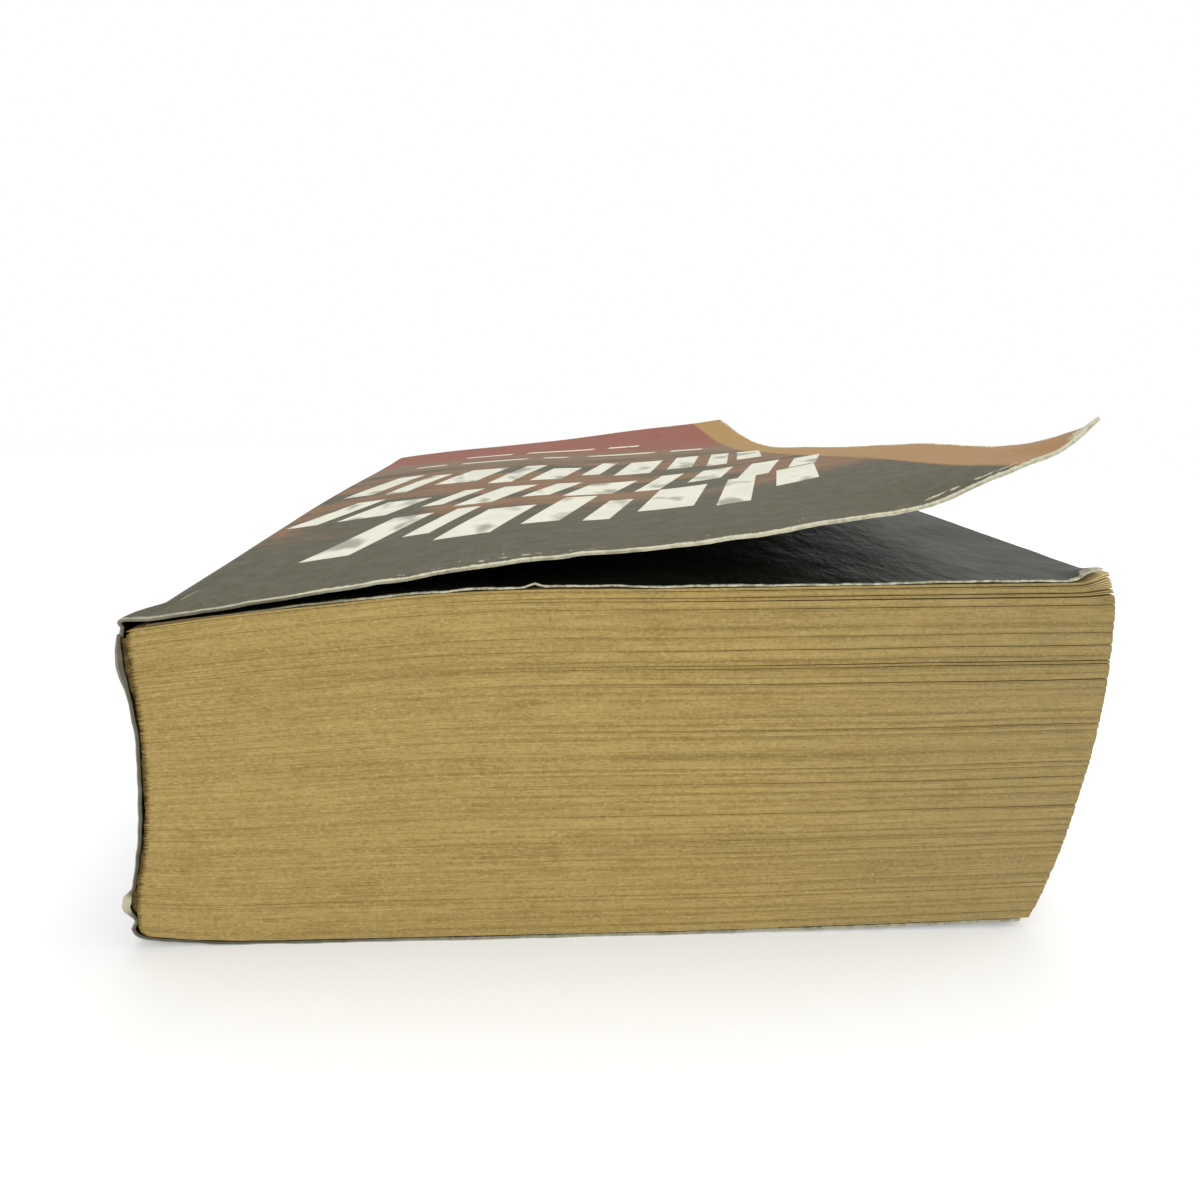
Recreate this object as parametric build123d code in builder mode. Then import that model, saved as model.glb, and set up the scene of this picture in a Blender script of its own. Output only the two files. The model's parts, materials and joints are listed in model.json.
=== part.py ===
"""A thick paperback book lying on its back cover, well read.

The spine is rolled, the pages stand thicker at the fore-edge than at the spine, and the front cover curls up,
most of all at the tail corner of its fore-edge.

Frame, millimetres: X runs from the spine to the fore-edge, Y from the tail to the head, Z up. The origin is in
the middle of the book, on the flat underside of the back cover.
"""

from build123d import *
from math import hypot
import os

os.makedirs("parts", exist_ok=True)

# Overall sizes
book_height = 190.5  # tail to head
leaf_width = 106.4  # spine end to fore-edge of one leaf
spine_height = 36.6  # stack of pages at the spine
fore_edge_rise = 6.3  # how much higher the top leaf stands at the fore-edge

# Sheets and clearances
card = 0.4  # cover card
inner_leaf_thickness = 0.25
glue_thickness = 0.85
bond_gap = 0.05  # between pieces that are bound together
cover_gap = 0.15  # between the back cover and the pages
fold_gap = 0.1  # between the spine card and the hinging edge of each cover
front_cover_seat = 0.35  # between the inner leaf and the front cover at its fold
back_fold_drop = 0.35  # from the lowest leaf's spine end down to the back cover's fold

# Rolled spine: share of the stack's height, and how far the leaves' ends lie from the spine's straight line
spine_lean = ((0.0, -0.3), (0.12, 0.2), (0.34, 1.8), (0.62, 2.6), (0.86, 2.35), (1.0, 2.2))

# The fore-edge leans over with the spine: share of its height, and how far it stands past one leaf's width
fore_edge_lean = ((0.0, -0.7), (0.12, 0.9), (0.33, 2.6), (0.66, 3.8), (0.88, 3.3), (1.0, 2.5))

# Top of the stack: share of the leaf's width, and share of fore_edge_rise
top_rise = ((0.0, 0.0), (0.17, 0.42), (0.37, 0.74), (0.54, 0.8), (0.78, 0.91), (1.0, 1.0))

# Underside: flat in the middle, lifted a little along the spine and along the fore-edge
flat_from_spine = 14.0
flat_from_fore_edge = 46.0
spine_lift = 0.9
fore_edge_lift = 0.8

# Front cover: how far it stops short of the top leaf, then its sections from tail to head. Each has its share of
# the book's height, and how high the card's middle stands over the inner leaf at each share of the cover's width
front_cover_inset = 4.4
cover_shares = (0.04, 0.15, 0.4, 0.7, 0.9, 1.0)
cover_sections = (
    (0.0, (0.6, 0.9, 2.9, 6.5, 12.0, 17.4)),
    (0.06, (0.6, 0.85, 2.7, 6.1, 11.0, 14.4)),
    (0.24, (0.6, 0.8, 2.0, 4.8, 8.8, 11.3)),
    (0.5, (0.6, 0.75, 1.1, 2.8, 5.2, 6.6)),
    (0.74, (0.6, 0.7, 0.8, 1.6, 3.0, 3.7)),
    (1.0, (0.6, 0.7, 1.0, 3.6, 6.0, 7.4)),
)

# Levels and ends worked out from the sizes above
spine_x = -leaf_width / 2
tail_y = -book_height / 2
flat_start_x = spine_x + flat_from_spine
flat_end_x = spine_x + leaf_width - flat_from_fore_edge
pages_bottom = card + cover_gap
spine_foot = pages_bottom + spine_lift
spine_top = spine_foot + spine_height
fore_edge_foot = pages_bottom + fore_edge_lift
fore_edge_top = spine_top + fore_edge_rise
inner_leaf_bottom = spine_top + bond_gap
inner_leaf_top = inner_leaf_bottom + inner_leaf_thickness

spine_foot_x = spine_x + spine_lean[0][1]
spine_top_x = spine_x + spine_lean[-1][1]
fore_edge_foot_x = spine_x + leaf_width + fore_edge_lean[0][1]
fore_edge_top_x = spine_x + leaf_width + fore_edge_lean[-1][1]

# The card wraps the spine outside the glue, and each cover hinges about the middle of the card at its fold
card_outset = glue_thickness + 2 * bond_gap
front_hinge_x = spine_top_x - card_outset - card / 2
front_hinge_z = inner_leaf_top + front_cover_seat + card / 2
back_hinge_x = spine_foot_x - card_outset - card / 2
back_hinge_z = spine_foot - back_fold_drop


def spine_curve(outset, low, high):
    """Points up the rolled spine from low to high, moved outwards by outset."""
    return [(spine_x + lean - outset, low + share * (high - low)) for share, lean in spine_lean]


def fore_edge_curve():
    """Points up the fore-edge of the pages."""
    height = fore_edge_top - fore_edge_foot
    return [(spine_x + leaf_width + lean, fore_edge_foot + share * height) for share, lean in fore_edge_lean]


def top_curve(level):
    """Points across the top of the stack, from a level at the spine."""
    width = fore_edge_top_x - spine_top_x
    return [(spine_top_x + share * width, level + rise * fore_edge_rise) for share, rise in top_rise]


def top_height(x):
    """Height of the inner leaf at x, in straight steps between the points of its curve."""
    points = top_curve(inner_leaf_top)
    if x <= points[0][0]:
        return points[0][1]
    for (x0, z0), (x1, z1) in zip(points, points[1:]):
        if x <= x1:
            return z0 + (z1 - z0) * (x - x0) / (x1 - x0)
    return points[-1][1]


def underside(start, level, end):
    """Draws the bowed line under the book: from the spine down to a flat level, and up to the fore-edge."""
    flat_start = (flat_start_x, level)
    flat_end = (flat_end_x, level)
    Spline(start, flat_start, tangents=[(1, -0.08), (1, 0)])
    Line(flat_start, flat_end)
    Spline(flat_end, end, tangents=[(1, 0), (1, 0.02)])


def cover_line(lifts):
    """Points along the middle of the front cover's card, from its hinge to its free edge."""
    reach = fore_edge_top_x - front_cover_inset - front_hinge_x
    points = [(front_hinge_x, front_hinge_z)]
    for share, lift in zip(cover_shares, lifts):
        x = front_hinge_x + share * reach
        points.append((x, top_height(x) + lift))
    return points


def beside(points, distance):
    """The line of points moved sideways, to the left of its run, by a distance."""
    moved = []
    last = len(points) - 1
    for i, (x, z) in enumerate(points):
        x0, z0 = points[max(i - 1, 0)]
        x1, z1 = points[min(i + 1, last)]
        length = hypot(x1 - x0, z1 - z0)
        moved.append((x - distance * (z1 - z0) / length, z + distance * (x1 - x0) / length))
    return moved


# Pages, bound into one solid
with BuildPart() as text_block:
    with BuildSketch(Plane.XZ.offset(tail_y)):
        with BuildLine():
            underside((spine_foot_x, spine_foot), pages_bottom, (fore_edge_foot_x, fore_edge_foot))
            Spline(*fore_edge_curve())
            Spline(*top_curve(spine_top))
            Spline(*spine_curve(0, spine_foot, spine_top))
        make_face()
    extrude(amount=book_height)

# Glossy leaf bound in over the pages
with BuildPart() as inner_leaf:
    with BuildSketch(Plane.XZ.offset(tail_y)):
        with BuildLine():
            lower = top_curve(inner_leaf_bottom)
            upper = top_curve(inner_leaf_top)
            Spline(*lower)
            Line(lower[-1], upper[-1])
            Spline(*upper)
            Line(upper[0], lower[0])
        make_face()
    extrude(amount=book_height)

# Binding glue on the spine ends of the leaves
with BuildPart() as spine_glue:
    with BuildSketch(Plane.XZ.offset(tail_y)):
        with BuildLine():
            inside = spine_curve(bond_gap, spine_foot, spine_top)
            outside = spine_curve(bond_gap + glue_thickness, spine_foot, spine_top)
            Spline(*inside)
            Line(inside[-1], outside[-1])
            Spline(*outside)
            Line(outside[0], inside[0])
        make_face()
    extrude(amount=book_height)

# Card over the glue, between the two folds
with BuildPart() as spine_cover:
    with BuildSketch(Plane.XZ.offset(tail_y)):
        with BuildLine():
            card_low = back_hinge_z + card / 2 + fold_gap
            card_high = front_hinge_z - card / 2 - fold_gap
            inside = spine_curve(card_outset, card_low, card_high)
            outside = spine_curve(card_outset + card, card_low, card_high)
            Spline(*inside)
            Line(inside[-1], outside[-1])
            Spline(*outside)
            Line(outside[0], inside[0])
        make_face()
    extrude(amount=book_height)

# Back cover, under the pages, with a round edge about its hinge
with BuildPart() as back_cover:
    with BuildSketch(Plane.XZ.offset(tail_y)):
        with BuildLine():
            lower_start = (back_hinge_x, back_hinge_z - card / 2)
            upper_start = (back_hinge_x, back_hinge_z + card / 2)
            lower_end = (fore_edge_foot_x, fore_edge_lift)
            upper_end = (fore_edge_foot_x, fore_edge_lift + card)
            underside(lower_start, 0, lower_end)
            underside(upper_start, card, upper_end)
            Line(lower_end, upper_end)
            ThreePointArc(lower_start, (back_hinge_x - card / 2, back_hinge_z), upper_start)
        make_face()
    extrude(amount=book_height)

# Front cover, lofted from tail to head, with a round edge about its hinge
with BuildPart() as front_cover:
    for share, lifts in cover_sections:
        with BuildSketch(Plane.XZ.offset(-tail_y - share * book_height)):
            with BuildLine():
                middle = cover_line(lifts)
                lower = beside(middle, -card / 2)
                upper = beside(middle, card / 2)
                lower[0] = (front_hinge_x, front_hinge_z - card / 2)
                upper[0] = (front_hinge_x, front_hinge_z + card / 2)
                Spline(*lower)
                Line(lower[-1], upper[-1])
                Spline(*upper)
                ThreePointArc(upper[0], (front_hinge_x - card / 2, front_hinge_z), lower[0])
            make_face()
    loft()

pieces = {
    "text_block": text_block,
    "inner_leaf": inner_leaf,
    "spine_glue": spine_glue,
    "spine_cover": spine_cover,
    "back_cover": back_cover,
    "front_cover": front_cover,
}
for name, piece in pieces.items():
    piece.part.label = name
    export_step(piece.part, f"parts/{name}.step")

print(f"front hinge x {front_hinge_x:.3f} z {front_hinge_z:.3f}")
print(f"back hinge x {back_hinge_x:.3f} z {back_hinge_z:.3f}")
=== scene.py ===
"""A well-read paperback book: loose newsprint leaves, a glossy inner leaf, binding glue and a worn, curling card cover.

Everything is in metres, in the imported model's frame: X from the spine to the fore-edge, Y from the tail to the head
and Z up, with the origin in the middle of the back cover's flat underside.
"""

import json
import math

import bpy
import numpy as np
from mathutils import Matrix, Vector


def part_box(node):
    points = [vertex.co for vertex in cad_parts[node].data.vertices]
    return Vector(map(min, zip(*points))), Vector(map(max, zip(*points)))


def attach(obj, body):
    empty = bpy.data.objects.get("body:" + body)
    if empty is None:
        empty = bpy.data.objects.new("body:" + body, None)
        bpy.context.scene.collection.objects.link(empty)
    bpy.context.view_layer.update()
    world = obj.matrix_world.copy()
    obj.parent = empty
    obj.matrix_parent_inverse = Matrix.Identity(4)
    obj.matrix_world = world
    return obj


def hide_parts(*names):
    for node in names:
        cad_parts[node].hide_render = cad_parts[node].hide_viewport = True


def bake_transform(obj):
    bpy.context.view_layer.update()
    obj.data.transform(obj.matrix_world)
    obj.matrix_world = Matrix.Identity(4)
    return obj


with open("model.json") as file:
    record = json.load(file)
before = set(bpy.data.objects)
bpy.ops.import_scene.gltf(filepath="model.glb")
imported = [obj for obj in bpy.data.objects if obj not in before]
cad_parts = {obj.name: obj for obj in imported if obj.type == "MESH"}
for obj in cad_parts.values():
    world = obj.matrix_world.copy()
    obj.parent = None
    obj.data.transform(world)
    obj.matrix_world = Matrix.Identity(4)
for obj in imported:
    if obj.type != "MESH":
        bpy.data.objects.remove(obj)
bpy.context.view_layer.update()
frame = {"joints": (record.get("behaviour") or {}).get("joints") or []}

bl_info = {
    "name": "Worn Paperback",
    "version": (1, 0, 0),
    "blender": (4, 5, 0),
    "location": "View3D > Sidebar > Paperback",
    "description": "Builds a well-read paperback book around its packed frame",
    "category": "Object",
}

MM = 0.001

# ---------------------------------------------------------------------------------------------------------------
# Places read from the frame
# ---------------------------------------------------------------------------------------------------------------

pages_low, pages_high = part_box("text_block")
leaf_low, leaf_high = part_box("inner_leaf")
cover_low, cover_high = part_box("front_cover")
back_low, back_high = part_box("back_cover")
hinges = {joint["name"]: Vector(joint["pos_m"]) for joint in frame["joints"]}
front_hinge = hinges["front_cover_hinge"]

tail_y = pages_low[1]
head_y = pages_high[1]
book_height = head_y - tail_y

# The same profiles as the frame's solids, in millimetres and in shares of the stack or of the leaf
SPINE_LEAN = ((0.0, -0.3), (0.12, 0.2), (0.34, 1.8), (0.62, 2.6), (0.86, 2.35), (1.0, 2.2))
FORE_EDGE_LEAN = ((0.0, -0.7), (0.12, 0.9), (0.33, 2.6), (0.66, 3.8), (0.88, 3.3), (1.0, 2.5))
TOP_RISE = ((0.0, 0.0), (0.17, 0.42), (0.37, 0.74), (0.54, 0.8), (0.78, 0.91), (1.0, 1.0))
UNDERSIDE = ((0.0, 0.9), (0.06, 0.25), (0.135, 0.0), (0.57, 0.0), (0.75, 0.25), (1.0, 0.8))
COVER_SHARES = (0.0, 0.04, 0.15, 0.4, 0.7, 0.9, 1.0)
COVER_SECTIONS = (
    (0.0, (0.55, 0.6, 0.9, 2.9, 6.5, 12.0, 17.4)),
    (0.06, (0.55, 0.6, 0.85, 2.7, 6.1, 11.0, 14.4)),
    (0.24, (0.55, 0.6, 0.8, 2.0, 4.8, 8.8, 11.3)),
    (0.5, (0.55, 0.6, 0.75, 1.1, 2.8, 5.2, 6.6)),
    (0.74, (0.55, 0.6, 0.7, 0.8, 1.6, 3.0, 3.7)),
    (1.0, (0.55, 0.6, 0.7, 1.0, 3.6, 6.0, 7.4)),
)

spine_x = pages_low[0] - SPINE_LEAN[0][1] * MM
spine_foot = pages_low[2] + UNDERSIDE[0][1] * MM
bond_gap = 0.05 * MM
spine_top = leaf_low[2] - bond_gap
stack_height = spine_top - spine_foot
fore_edge_rise = pages_high[2] - spine_top
spine_top_x = spine_x + SPINE_LEAN[-1][1] * MM
fore_edge_top_x = leaf_high[0]
leaf_width = fore_edge_top_x - FORE_EDGE_LEAN[-1][1] * MM - spine_x
cover_end_x = cover_high[0]

# Towards the head the book has settled a little on the spine's side: how far, from which share of the length, and
# between which shares of the width it runs out
SETTLE = 1.6 * MM
SETTLE_FROM = 0.4
SETTLE_SIDE = (0.25, 0.75)

# The front fold: where it starts on the spine, and how far past its hinge it runs. A crease crosses its near corner
FRONT_FOLD_LOW = 37.3 * MM
FRONT_FOLD_REACH = 2.9 * MM
CREASE_START = 2.1 * MM
CREASE_SLOPE = 0.16

# The back fold: where it ends on the spine, and how far in under the pages it starts
BACK_FOLD_HIGH = 2.5 * MM
BACK_FOLD_REACH = 0.65 * MM

# The spine card laps both folds a little. The glue and the lowest leaves stay clear of them
FOLD_LAP = 0.15 * MM
FOLD_CLEAR = 0.22 * MM
FOOT_CLEAR = 0.6 * MM

# Inside of the back fold's roll: its reach sideways, and how far its foot lies under the lowest leaf's spine end
ROLL_REACH = 1.85 * MM
ROLL_BELOW = 0.22 * MM

# How far the leaves' ends stand out from the frame's lines, and the spine card's middle from the frame's spine line
LEAF_SPINE_OUT = 0.6 * MM
LEAF_FORE_EDGE_OUT = 0.25 * MM
SPINE_CARD_OUT = 1.15 * MM

# Leaves at the top whose corners curl, and the leaf with a wide gap over it, both counted down from the top leaf
CURLED_LEAVES = 13.0
LEAF_UNDER_GAP = 9.0

# Where the inner leaf's torn tail edge has a raised nick
NICK_FROM_SPINE = 43.9 * MM

INNER_LEAF_HALF_THICKNESS = 0.1 * MM

# Worn margins: how deep the wear reaches on the front cover, the spine, the back cover and the inner leaf
FRONT_WEAR = 0.75 * MM
SPINE_WEAR = 0.3 * MM
BACK_WEAR = 0.2 * MM
LEAF_WEAR = 0.4 * MM


class BookSizes(bpy.types.PropertyGroup):
    """Sizes of the pages and the card."""

    leaf_count: bpy.props.IntProperty(name="Leaves", description="Leaves in the whole stack", default=288, min=8)
    fine_leaves: bpy.props.IntProperty(
        name="Fine leaves", description="Leaves at the top that are made finely enough to curl", default=14, min=1
    )
    paper: bpy.props.FloatProperty(
        name="Paper", description="Share of each leaf's room that is paper", default=0.975, subtype="FACTOR"
    )
    looseness: bpy.props.FloatProperty(
        name="Looseness", description="Share of the stack at the fore-edge that is air", default=0.05, subtype="FACTOR"
    )
    gatherings: bpy.props.IntProperty(
        name="Gatherings", description="Groups of leaves that lie together", default=34, min=2
    )
    card: bpy.props.FloatProperty(
        name="Card", description="Thickness of the cover card", default=0.4 * MM, unit="LENGTH", precision=6
    )
    corner_curl: bpy.props.FloatProperty(
        name="Corner curl", description="How far the top leaves' corners curl up", default=1.3 * MM, unit="LENGTH"
    )
    seed: bpy.props.IntProperty(name="Seed", description="Seed of everything uneven", default=7)


class BookColours(bpy.types.PropertyGroup):
    """Colours of the paper, the card and the print."""

    paper: bpy.props.FloatVectorProperty(
        name="Paper", description="Aged newsprint", subtype="COLOR", size=3, default=(0.382, 0.272, 0.095)
    )
    charcoal: bpy.props.FloatVectorProperty(
        name="Charcoal", description="Dark field of the cover", subtype="COLOR", size=3, default=(0.08, 0.07, 0.036)
    )
    rust: bpy.props.FloatVectorProperty(
        name="Rust", description="Soft brown fields", subtype="COLOR", size=3, default=(0.26, 0.125, 0.05)
    )
    ochre: bpy.props.FloatVectorProperty(
        name="Ochre", description="Band along the fore-edge", subtype="COLOR", size=3, default=(0.41, 0.235, 0.06)
    )
    red: bpy.props.FloatVectorProperty(
        name="Red", description="Band at the head", subtype="COLOR", size=3, default=(0.32, 0.08, 0.05)
    )
    foil: bpy.props.FloatVectorProperty(
        name="Foil", description="Pale metallic bars", subtype="COLOR", size=3, default=(1.0, 0.99, 0.83)
    )
    bare_card: bpy.props.FloatVectorProperty(
        name="Bare card", description="Worn edges", subtype="COLOR", size=3, default=(0.66, 0.63, 0.46)
    )
    glue: bpy.props.FloatVectorProperty(
        name="Glue", description="Dark binding glue", subtype="COLOR", size=3, default=(0.105, 0.068, 0.018)
    )


# ---------------------------------------------------------------------------------------------------------------
# Curves, unevenness and sheets
# ---------------------------------------------------------------------------------------------------------------


def cubic(t, step, start, end, start_slope, end_slope):
    """Smooth curve at share t of a step between two values, with a slope at each."""
    rise = start * (2 * t**3 - 3 * t**2 + 1) + end * (3 * t**2 - 2 * t**3)
    return rise + step * (start_slope * (t**3 - 2 * t**2 + t) + end_slope * (t**3 - t**2))


def through(points, x):
    """Height at x of the smooth curve through points."""
    xs, ys = np.array(points, float).T
    slopes = np.gradient(ys, xs)
    x = np.asarray(x, float)
    k = np.clip(np.searchsorted(xs, x, side="right") - 1, 0, len(xs) - 2)
    step = xs[k + 1] - xs[k]
    t = np.clip((x - xs[k]) / step, 0, 1)
    return cubic(t, step, ys[k], ys[k + 1], slopes[k], slopes[k + 1])


def ease(x):
    """Smooth step from 0 to 1."""
    x = np.clip(x, 0, 1)
    return x * x * (3 - 2 * x)


def swell(x, height, middle, reach, power=2):
    """A smooth swelling about a middle, falling away over its reach; a higher power gives it a flatter top."""
    return height * np.exp(-(((x - middle) / reach) ** power))


def uneven(x, y, cell_x, cell_y, seed):
    """Smooth seeded unevenness from -1 to 1, with cells of the given sizes."""
    lattice = np.random.default_rng(seed).uniform(-1, 1, (64, 64))
    gx = np.asarray(x, float) / cell_x + 17.3
    gy = np.asarray(y, float) / cell_y + 11.9
    ix, iy = np.floor(gx).astype(int), np.floor(gy).astype(int)
    tx, ty = ease(gx - ix), ease(gy - iy)
    a = lattice[ix % 64, iy % 64]
    b = lattice[(ix + 1) % 64, iy % 64]
    c = lattice[ix % 64, (iy + 1) % 64]
    d = lattice[(ix + 1) % 64, (iy + 1) % 64]
    return (a * (1 - tx) + b * tx) * (1 - ty) + (c * (1 - tx) + d * tx) * ty


def settled(points):
    """Points lowered where the book has settled."""
    x, y, z = points[..., 0], points[..., 1], points[..., 2]
    towards_head = ease(((y - tail_y) / book_height - SETTLE_FROM) / (1 - SETTLE_FROM))
    side = 1 - ease(((x - spine_x) / leaf_width - SETTLE_SIDE[0]) / (SETTLE_SIDE[1] - SETTLE_SIDE[0]))
    lower = points.copy()
    lower[..., 2] -= SETTLE * towards_head * side * np.clip(z / spine_top, 0, 1)
    return lower


def top_height(x):
    """Height of the inner leaf's upper side at x."""
    share = (np.asarray(x, float) - spine_top_x) / (fore_edge_top_x - spine_top_x)
    return leaf_low[2] + (leaf_high[2] - leaf_low[2] - fore_edge_rise) + through(TOP_RISE, share) * fore_edge_rise


def cover_height(x, y):
    """Height of the middle of the front cover's card at x and y."""
    share = (np.asarray(x, float) - front_hinge.x) / (cover_end_x - front_hinge.x)
    along = (np.asarray(y, float) - tail_y) / book_height
    lifts = np.array([through(list(zip(COVER_SHARES, heights)), share) for _, heights in COVER_SECTIONS])
    stations = np.array([station for station, _ in COVER_SECTIONS])
    slopes = np.gradient(lifts, stations, axis=0)
    k = np.clip(np.searchsorted(stations, along, side="right") - 1, 0, len(stations) - 2)
    step = stations[k + 1] - stations[k]
    t = np.clip((along - stations[k]) / step, 0, 1)
    ends = [np.take_along_axis(table, at[None], axis=0)[0] for table in (lifts, slopes) for at in (k, k + 1)]
    lift = cubic(t, step, *ends)
    # The curl's tail edge sags in two places
    sag = swell(share, 0.65, 0.8, 0.065) + swell(share, 0.75, 0.955, 0.024)
    sag = sag * (1 - ease(along / 0.1))
    return top_height(x) + (lift - sag) * MM


def steps(start, end, count, crowd_start=0.0, crowd_end=0.0):
    """Evenly rising values from start to end, crowded towards either end."""
    t = np.linspace(0, 1, count)
    t = t - crowd_start * np.sin(math.pi * t) / math.pi * (1 - t) + crowd_end * np.sin(math.pi * t) / math.pi * t
    return start + (end - start) * t


def link(name, mesh):
    """A new object of a mesh, in the scene's collection."""
    thing = bpy.data.objects.new(name, mesh)
    bpy.context.scene.collection.objects.link(thing)
    return thing


def sheet(name, upper, lower, material, edge=None, round_out=0.0, seed=1, frayed=None):
    """A closed sheet between two grids of points, with a worn, rounded rim.

    Keeps each point's rest place, its distance from a worn edge, how frayed it is, and which face it is on.
    """
    across, along = upper.shape[:2]
    ring = [(i, 0) for i in range(across)] + [(across - 1, j) for j in range(1, along)]
    ring += [(i, along - 1) for i in range(across - 2, -1, -1)] + [(0, j) for j in range(along - 2, 0, -1)]
    rows, columns = np.array(ring).T
    edge_upper, edge_lower = upper[rows, columns], lower[rows, columns]
    run = np.roll(edge_upper, -1, axis=0) - np.roll(edge_upper, 1, axis=0)
    thick = edge_upper - edge_lower
    outward = np.cross(run, thick)
    outward /= np.maximum(np.linalg.norm(outward, axis=1, keepdims=True), 1e-12)
    fray = np.random.default_rng(seed).uniform(0.3, 1.0, (len(ring), 1))
    rim = (edge_upper + edge_lower) / 2 + outward * round_out * fray
    points = settled(np.concatenate([upper.reshape(-1, 3), lower.reshape(-1, 3), rim]))
    index = np.arange(across * along).reshape(across, along)
    quads = np.stack([index[:-1, :-1], index[1:, :-1], index[1:, 1:], index[:-1, 1:]], axis=-1).reshape(-1, 4)
    under = quads[:, ::-1] + across * along
    on_top = index[rows, columns]
    below = on_top + across * along
    middle = np.arange(len(ring)) + 2 * across * along
    after = np.roll(np.arange(len(ring)), -1)
    walls = [
        np.stack([on_top, middle, middle[after], on_top[after]], axis=-1),
        np.stack([middle, below, below[after], middle[after]], axis=-1),
    ]
    faces = np.concatenate([quads, under] + walls)
    mesh = bpy.data.meshes.new(name)
    mesh.from_pydata(points.tolist(), [], faces.tolist())
    mesh.polygons.foreach_set("use_smooth", np.ones(len(faces), bool))
    mesh.set_sharp_from_angle(angle=math.radians(60))
    place = mesh.attributes.new("place", "FLOAT_VECTOR", "POINT")
    place.data.foreach_set("vector", points.astype(np.float32).ravel())
    away = np.full((across, along), 1.0) if edge is None else edge
    split = np.zeros((across, along)) if frayed is None else frayed
    rim_away = np.where(away[rows, columns] < 0.3 * MM, -0.3 * MM, away[rows, columns])
    ones = np.ones(across * along)
    for key, values in (
        ("edge", np.concatenate([away.ravel(), away.ravel(), rim_away])),
        ("frayed", np.concatenate([split.ravel(), split.ravel(), split[rows, columns]])),
        ("side", np.concatenate([ones, -ones, np.zeros(len(ring))])),
    ):
        mesh.attributes.new(key, "FLOAT", "POINT").data.foreach_set("value", values.astype(np.float32))
    mesh.materials.append(material)
    mesh.update()
    return link(name, mesh)


def card_faces(middle, thickness):
    """Upper and lower grids of a card about a grid of middle points, set apart square to its run in X and Z."""
    run = np.gradient(middle, axis=0)
    length = np.maximum(np.hypot(run[..., 0], run[..., 2]), 1e-12)
    square = np.stack([-run[..., 2] / length, np.zeros_like(length), run[..., 0] / length], axis=-1)
    half = square * np.broadcast_to(thickness, length.shape)[..., None] / 2
    return middle + half, middle - half


# ---------------------------------------------------------------------------------------------------------------
# Node trees
# ---------------------------------------------------------------------------------------------------------------


class Nodes:
    """Adds nodes to a tree. Values may be numbers, vectors or other nodes' outputs."""

    def __init__(self, tree):
        self.tree = tree

    def feed(self, socket, value):
        """Links an output to a socket, or sets the socket's value."""
        if isinstance(value, bpy.types.NodeSocket):
            self.tree.links.new(value, socket)
        elif value is not None:
            socket.default_value = value

    def add(self, kind, inputs=None, **settings):
        """A node with its settings, fed by name or number."""
        node = self.tree.nodes.new(kind)
        for key, value in settings.items():
            setattr(node, key, value)
        for key, value in (inputs or {}).items():
            self.feed(node.inputs[key], value)
        return node

    def math(self, operation, a, b=None, c=None, clamp=False):
        """A Math node's output."""
        node = self.add("ShaderNodeMath", {0: a, 1: b, 2: c}, operation=operation, use_clamp=clamp)
        return node.outputs[0]

    def curve(self, value, points):
        """A smooth curve through points that lie between 0 and 1."""
        node = self.add("ShaderNodeFloatCurve", {"Value": value})
        curve = node.mapping.curves[0]
        while len(curve.points) < len(points):
            curve.points.new(0.5, 0.5)
        for point, (x, y) in zip(curve.points, points):
            point.location = (x, y)
        node.mapping.update()
        return node.outputs[0]

    def between(self, value, low, high, new_low=0.0, new_high=1.0, smooth=True):
        """A value moved from one range to another, held at its ends."""
        node = self.add(
            "ShaderNodeMapRange",
            {0: value, 1: low, 2: high, 3: new_low, 4: new_high},
            interpolation_type="SMOOTHSTEP" if smooth else "LINEAR",
        )
        return node.outputs[0]

    def mix(self, factor, a, b):
        """A colour between two colours."""
        node = self.add("ShaderNodeMix", data_type="RGBA")
        self.feed(node.inputs[0], factor)
        self.feed(node.inputs[6], a if isinstance(a, bpy.types.NodeSocket) else (*a, 1))
        self.feed(node.inputs[7], b if isinstance(b, bpy.types.NodeSocket) else (*b, 1))
        return node.outputs[2]

    def window(self, value, low, full_low, full_high, high):
        """1 between the two full values, falling smoothly to 0 outside them."""
        return self.math("MULTIPLY", self.between(value, low, full_low), self.between(value, full_high, high, 1, 0))

    def attribute(self, name):
        """A number stored on the surface."""
        return self.add("ShaderNodeAttribute", attribute_name=name).outputs["Fac"]

    def spread(self, x, scale_x, y=None, scale_y=1.0, z=None, scale_z=1.0):
        """A place whose parts are values, each times its scale. A part with no value is 0."""
        node = self.add("ShaderNodeCombineXYZ")
        for number, (value, scale) in enumerate(((x, scale_x), (y, scale_y), (z, scale_z))):
            if value is not None:
                self.feed(node.inputs[number], self.math("MULTIPLY", value, scale))
        return node.outputs[0]

    def noise(self, place, scale, detail=2.0, roughness=0.5):
        """Smooth noise from 0 to 1."""
        inputs = {"Vector": place, "Scale": scale, "Detail": detail, "Roughness": roughness}
        return self.add("ShaderNodeTexNoise", inputs).outputs[0]

    def scaled(self, place, scale, offset=(0, 0, 0)):
        """A place stretched by a scale for each axis."""
        inputs = {"Vector": place, "Scale": scale, "Location": offset}
        return self.add("ShaderNodeMapping", inputs).outputs[0]


def shade(colour, *factors):
    """A colour times one factor, or times one for each channel."""
    factors = factors * 3 if len(factors) == 1 else factors
    return tuple(min(1, channel * factor) for channel, factor in zip(colour, factors))


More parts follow.
